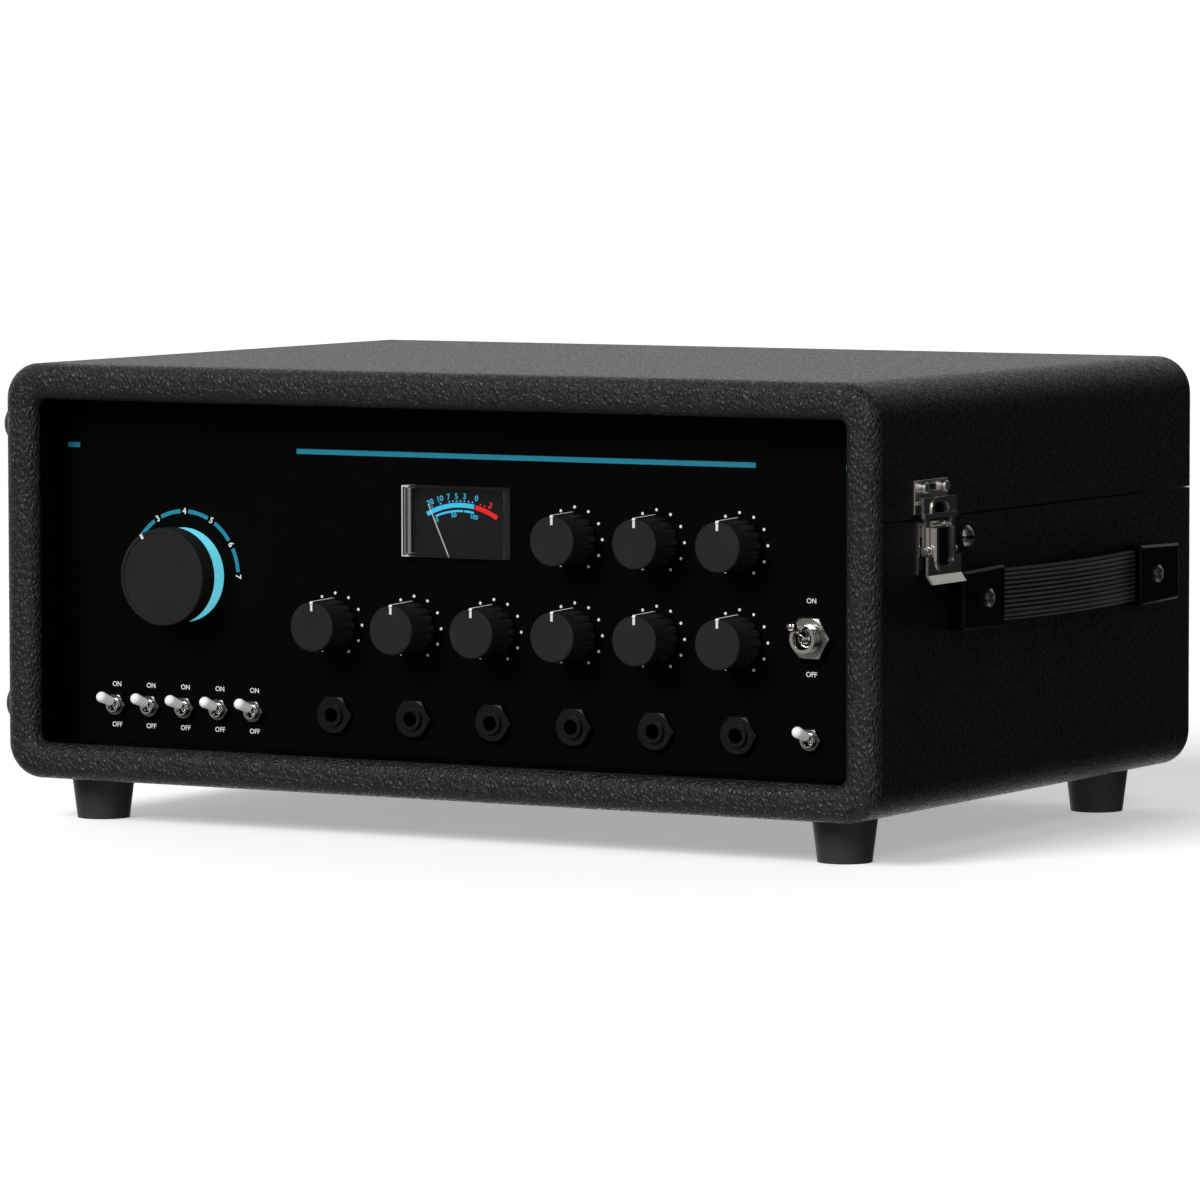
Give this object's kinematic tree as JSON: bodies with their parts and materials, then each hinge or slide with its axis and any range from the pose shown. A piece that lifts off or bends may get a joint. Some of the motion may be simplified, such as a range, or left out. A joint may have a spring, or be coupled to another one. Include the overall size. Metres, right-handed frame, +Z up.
{
  "type": "tape echo unit",
  "caption": "Portable tape echo unit: covered case with recessed control panel and level meter, hinged lid over a loop-tape deck, side latches and strap handle.",
  "frame": {"origin": "middle of the case's plan, on the surface that the feet stand on", "axes": "+X to the right along the front, +Y to the back, +Z up"},
  "size_m": [0.4548, 0.3098, 0.202],
  "materials": {
    "covering": "grained vinyl covering over plywood",
    "frame_plastic": "grained, satin",
    "foot_rubber": "matte",
    "nickel": "bright nickel plate",
    "panel_paint": "black satin paint with printed scales",
    "knob_plastic": "satin",
    "ring_plastic": "satin",
    "cap_plastic": "moulded, black",
    "toggle_cap": "white caps on steel levers",
    "jack_plastic": "moulded",
    "meter_clear": "clear acrylic",
    "meter_black": "moulded",
    "dial_print": "printed dial",
    "needle_metal": "thin sheet",
    "strap_rubber": "ribbed",
    "chassis_steel": "zinc plated",
    "deck_metal": "brushed",
    "capstan_steel": "ground",
    "roller_rubber": "matte",
    "tank_plastic": "moulded",
    "cover_clear": "clear smoked sheet",
    "tape_film": "brown oxide",
    "board_laminate": "lacquered",
    "core_steel": "laminations",
    "inlet_plastic": "moulded"
  },
  "bodies": {
    "case": {"case_body": "covering", "front_frame": "frame_plastic", "bottom_feet": "foot_rubber", "case_side_feet": "foot_rubber", "hinge_case_leaves": "nickel", "latch_bases": "nickel", "handle_caps": "cap_plastic", "handle_strap": "strap_rubber", "case_screws": "nickel", "front_panel": "panel_paint", "control_pots": "chassis_steel", "toggle_bodies": "nickel", "toggle_nuts": "nickel", "jack_sockets": "jack_plastic", "jack_nuts": "jack_plastic", "meter_housing": "meter_black", "meter_dial": "dial_print", "meter_cover": "meter_clear", "chassis": "chassis_steel", "power_inlet": "inlet_plastic", "deck_plate": "deck_metal", "capstan_motor": "chassis_steel", "tape_tank": "tank_plastic", "tank_cover": "cover_clear", "tape_loop": "tape_film", "tape_guides": "capstan_steel", "tape_heads": "nickel", "circuit_board": "board_laminate", "power_transformer": "core_steel", "reverb_tank": "chassis_steel"},
    "lid": {"lid": "covering", "lid_side_feet": "foot_rubber", "hinge_lid_leaves": "nickel", "latch_keepers": "nickel"},
    "latch_lever_right": {"latch_lever_right": "nickel"},
    "latch_bail_right": {"latch_bail_right": "nickel"},
    "latch_lever_left": {"latch_lever_left": "nickel"},
    "latch_bail_left": {"latch_bail_left": "nickel"},
    "mode_knob": {"mode_knob": "knob_plastic", "mode_knob_ring": "ring_plastic"},
    "input_volume_knob": {"input_volume_knob": "knob_plastic"},
    "chorus_rate_knob": {"chorus_rate_knob": "knob_plastic"},
    "chorus_depth_knob": {"chorus_depth_knob": "knob_plastic"},
    "reverb_volume_knob": {"reverb_volume_knob": "knob_plastic"},
    "speed_knob": {"speed_knob": "knob_plastic"},
    "echo_volume_knob": {"echo_volume_knob": "knob_plastic"},
    "bass_knob": {"bass_knob": "knob_plastic"},
    "treble_knob": {"treble_knob": "knob_plastic"},
    "feedback_knob": {"feedback_knob": "knob_plastic"},
    "direct_toggle_lever": {"direct_toggle_lever": "toggle_cap"},
    "motor_toggle_lever": {"motor_toggle_lever": "toggle_cap"},
    "hold_toggle_lever": {"hold_toggle_lever": "toggle_cap"},
    "echo_toggle_lever": {"echo_toggle_lever": "toggle_cap"},
    "chorus_toggle_lever": {"chorus_toggle_lever": "toggle_cap"},
    "output_level_toggle_lever": {"output_level_toggle_lever": "toggle_cap"},
    "power_toggle_lever": {"power_toggle_lever": "nickel"},
    "meter_needle": {"meter_needle": "needle_metal"},
    "capstan": {"capstan": "capstan_steel"},
    "pinch_arm": {"pinch_arm": "chassis_steel"},
    "pinch_roller": {"pinch_roller": "roller_rubber"}
  },
  "joints": [
    {"name": "lid_hinge", "type": "hinge", "parent": "case", "child": "lid", "pos_m": [0, 0.1551, 0.14395], "axis": [-1, 0, 0], "range_deg": [0, 100]},
    {"name": "latch_lever_right", "type": "hinge", "parent": "case", "child": "latch_lever_right", "pos_m": [0.2208, -0.1035, 0.1405], "axis": [0, -1, 0], "range_deg": [0, 110]},
    {"name": "latch_bail_right", "type": "hinge", "parent": "latch_lever_right", "child": "latch_bail_right", "pos_m": [0.2218, -0.1035, 0.1309], "axis": [0, -1, 0], "range_deg": [-100, 0]},
    {"name": "latch_lever_left", "type": "hinge", "parent": "case", "child": "latch_lever_left", "pos_m": [-0.2208, -0.1035, 0.1405], "axis": [0, 1, 0], "range_deg": [0, 110]},
    {"name": "latch_bail_left", "type": "hinge", "parent": "latch_lever_left", "child": "latch_bail_left", "pos_m": [-0.2218, -0.1035, 0.1309], "axis": [0, 1, 0], "range_deg": [-100, 0]},
    {"name": "mode_select", "type": "hinge", "parent": "case", "child": "mode_knob", "pos_m": [-0.1392, -0.1245, 0.1096], "axis": [0, 1, 0], "range_deg": [-60, 120]},
    {"name": "input_volume_turn", "type": "hinge", "parent": "case", "child": "input_volume_knob", "pos_m": [-0.0615, -0.1245, 0.0907], "axis": [0, 1, 0], "range_deg": [-150, 150]},
    {"name": "chorus_rate_turn", "type": "hinge", "parent": "case", "child": "chorus_rate_knob", "pos_m": [-0.0215, -0.1245, 0.0907], "axis": [0, 1, 0], "range_deg": [-150, 150]},
    {"name": "chorus_depth_turn", "type": "hinge", "parent": "case", "child": "chorus_depth_knob", "pos_m": [0.0185, -0.1245, 0.0907], "axis": [0, 1, 0], "range_deg": [-150, 150]},
    {"name": "reverb_volume_turn", "type": "hinge", "parent": "case", "child": "reverb_volume_knob", "pos_m": [0.0585, -0.1245, 0.0907], "axis": [0, 1, 0], "range_deg": [-150, 150]},
    {"name": "speed_turn", "type": "hinge", "parent": "case", "child": "speed_knob", "pos_m": [0.0985, -0.1245, 0.0907], "axis": [0, 1, 0], "range_deg": [-150, 150]},
    {"name": "echo_volume_turn", "type": "hinge", "parent": "case", "child": "echo_volume_knob", "pos_m": [0.1385, -0.1245, 0.0907], "axis": [0, 1, 0], "range_deg": [-150, 150]},
    {"name": "bass_turn", "type": "hinge", "parent": "case", "child": "bass_knob", "pos_m": [0.0585, -0.1245, 0.1316], "axis": [0, 1, 0], "range_deg": [-150, 150]},
    {"name": "treble_turn", "type": "hinge", "parent": "case", "child": "treble_knob", "pos_m": [0.0985, -0.1245, 0.1316], "axis": [0, 1, 0], "range_deg": [-150, 150]},
    {"name": "feedback_turn", "type": "hinge", "parent": "case", "child": "feedback_knob", "pos_m": [0.1385, -0.1245, 0.1316], "axis": [0, 1, 0], "range_deg": [-150, 150]},
    {"name": "direct_toggle", "type": "hinge", "parent": "case", "child": "direct_toggle_lever", "pos_m": [-0.1752, -0.1245, 0.0509], "axis": [1, 0, 0], "range_deg": [0, 37]},
    {"name": "motor_toggle", "type": "hinge", "parent": "case", "child": "motor_toggle_lever", "pos_m": [-0.1572, -0.1245, 0.0509], "axis": [1, 0, 0], "range_deg": [0, 37]},
    {"name": "hold_toggle", "type": "hinge", "parent": "case", "child": "hold_toggle_lever", "pos_m": [-0.1392, -0.1245, 0.0509], "axis": [1, 0, 0], "range_deg": [0, 37]},
    {"name": "echo_toggle", "type": "hinge", "parent": "case", "child": "echo_toggle_lever", "pos_m": [-0.1212, -0.1245, 0.0509], "axis": [1, 0, 0], "range_deg": [0, 37]},
    {"name": "chorus_toggle", "type": "hinge", "parent": "case", "child": "chorus_toggle_lever", "pos_m": [-0.1032, -0.1245, 0.0509], "axis": [1, 0, 0], "range_deg": [0, 37]},
    {"name": "output_level_toggle", "type": "hinge", "parent": "case", "child": "output_level_toggle_lever", "pos_m": [0.1728, -0.1245, 0.0509], "axis": [1, 0, 0], "range_deg": [0, 37]},
    {"name": "power_toggle", "type": "hinge", "parent": "case", "child": "power_toggle_lever", "pos_m": [0.1728, -0.1275, 0.0936], "axis": [1, 0, 0], "range_deg": [0, 45]},
    {"name": "needle_swing", "type": "hinge", "parent": "case", "child": "meter_needle", "pos_m": [0.0004, -0.1225, 0.1086], "axis": [0, 1, 0], "range_deg": [0, 56], "stiffness_Nm_per_rad": 0.0001, "springref_deg": -17.19},
    {"name": "capstan_spin", "type": "hinge", "parent": "case", "child": "capstan", "pos_m": [-0.128, -0.03725, 0.157], "axis": [0, 0, 1], "continuous": true},
    {"name": "pinch_arm_swing", "type": "hinge", "parent": "case", "child": "pinch_arm", "pos_m": [-0.086, -0.01885, 0.157], "axis": [0, 0, 1], "range_deg": [0, 5], "stiffness_Nm_per_rad": 0.02, "springref_deg": -5.73},
    {"name": "pinch_roller_spin", "type": "hinge", "parent": "pinch_arm", "child": "pinch_roller", "pos_m": [-0.128, -0.01885, 0.157], "axis": [0, 0, 1], "continuous": true}
  ],
  "couplings": [
    {"joint": "latch_bail_right", "follows": "latch_lever_right", "ratio": -0.9},
    {"joint": "latch_bail_left", "follows": "latch_lever_left", "ratio": -0.9},
    {"joint": "pinch_roller_spin", "follows": "capstan_spin", "ratio": -0.27273}
  ]
}
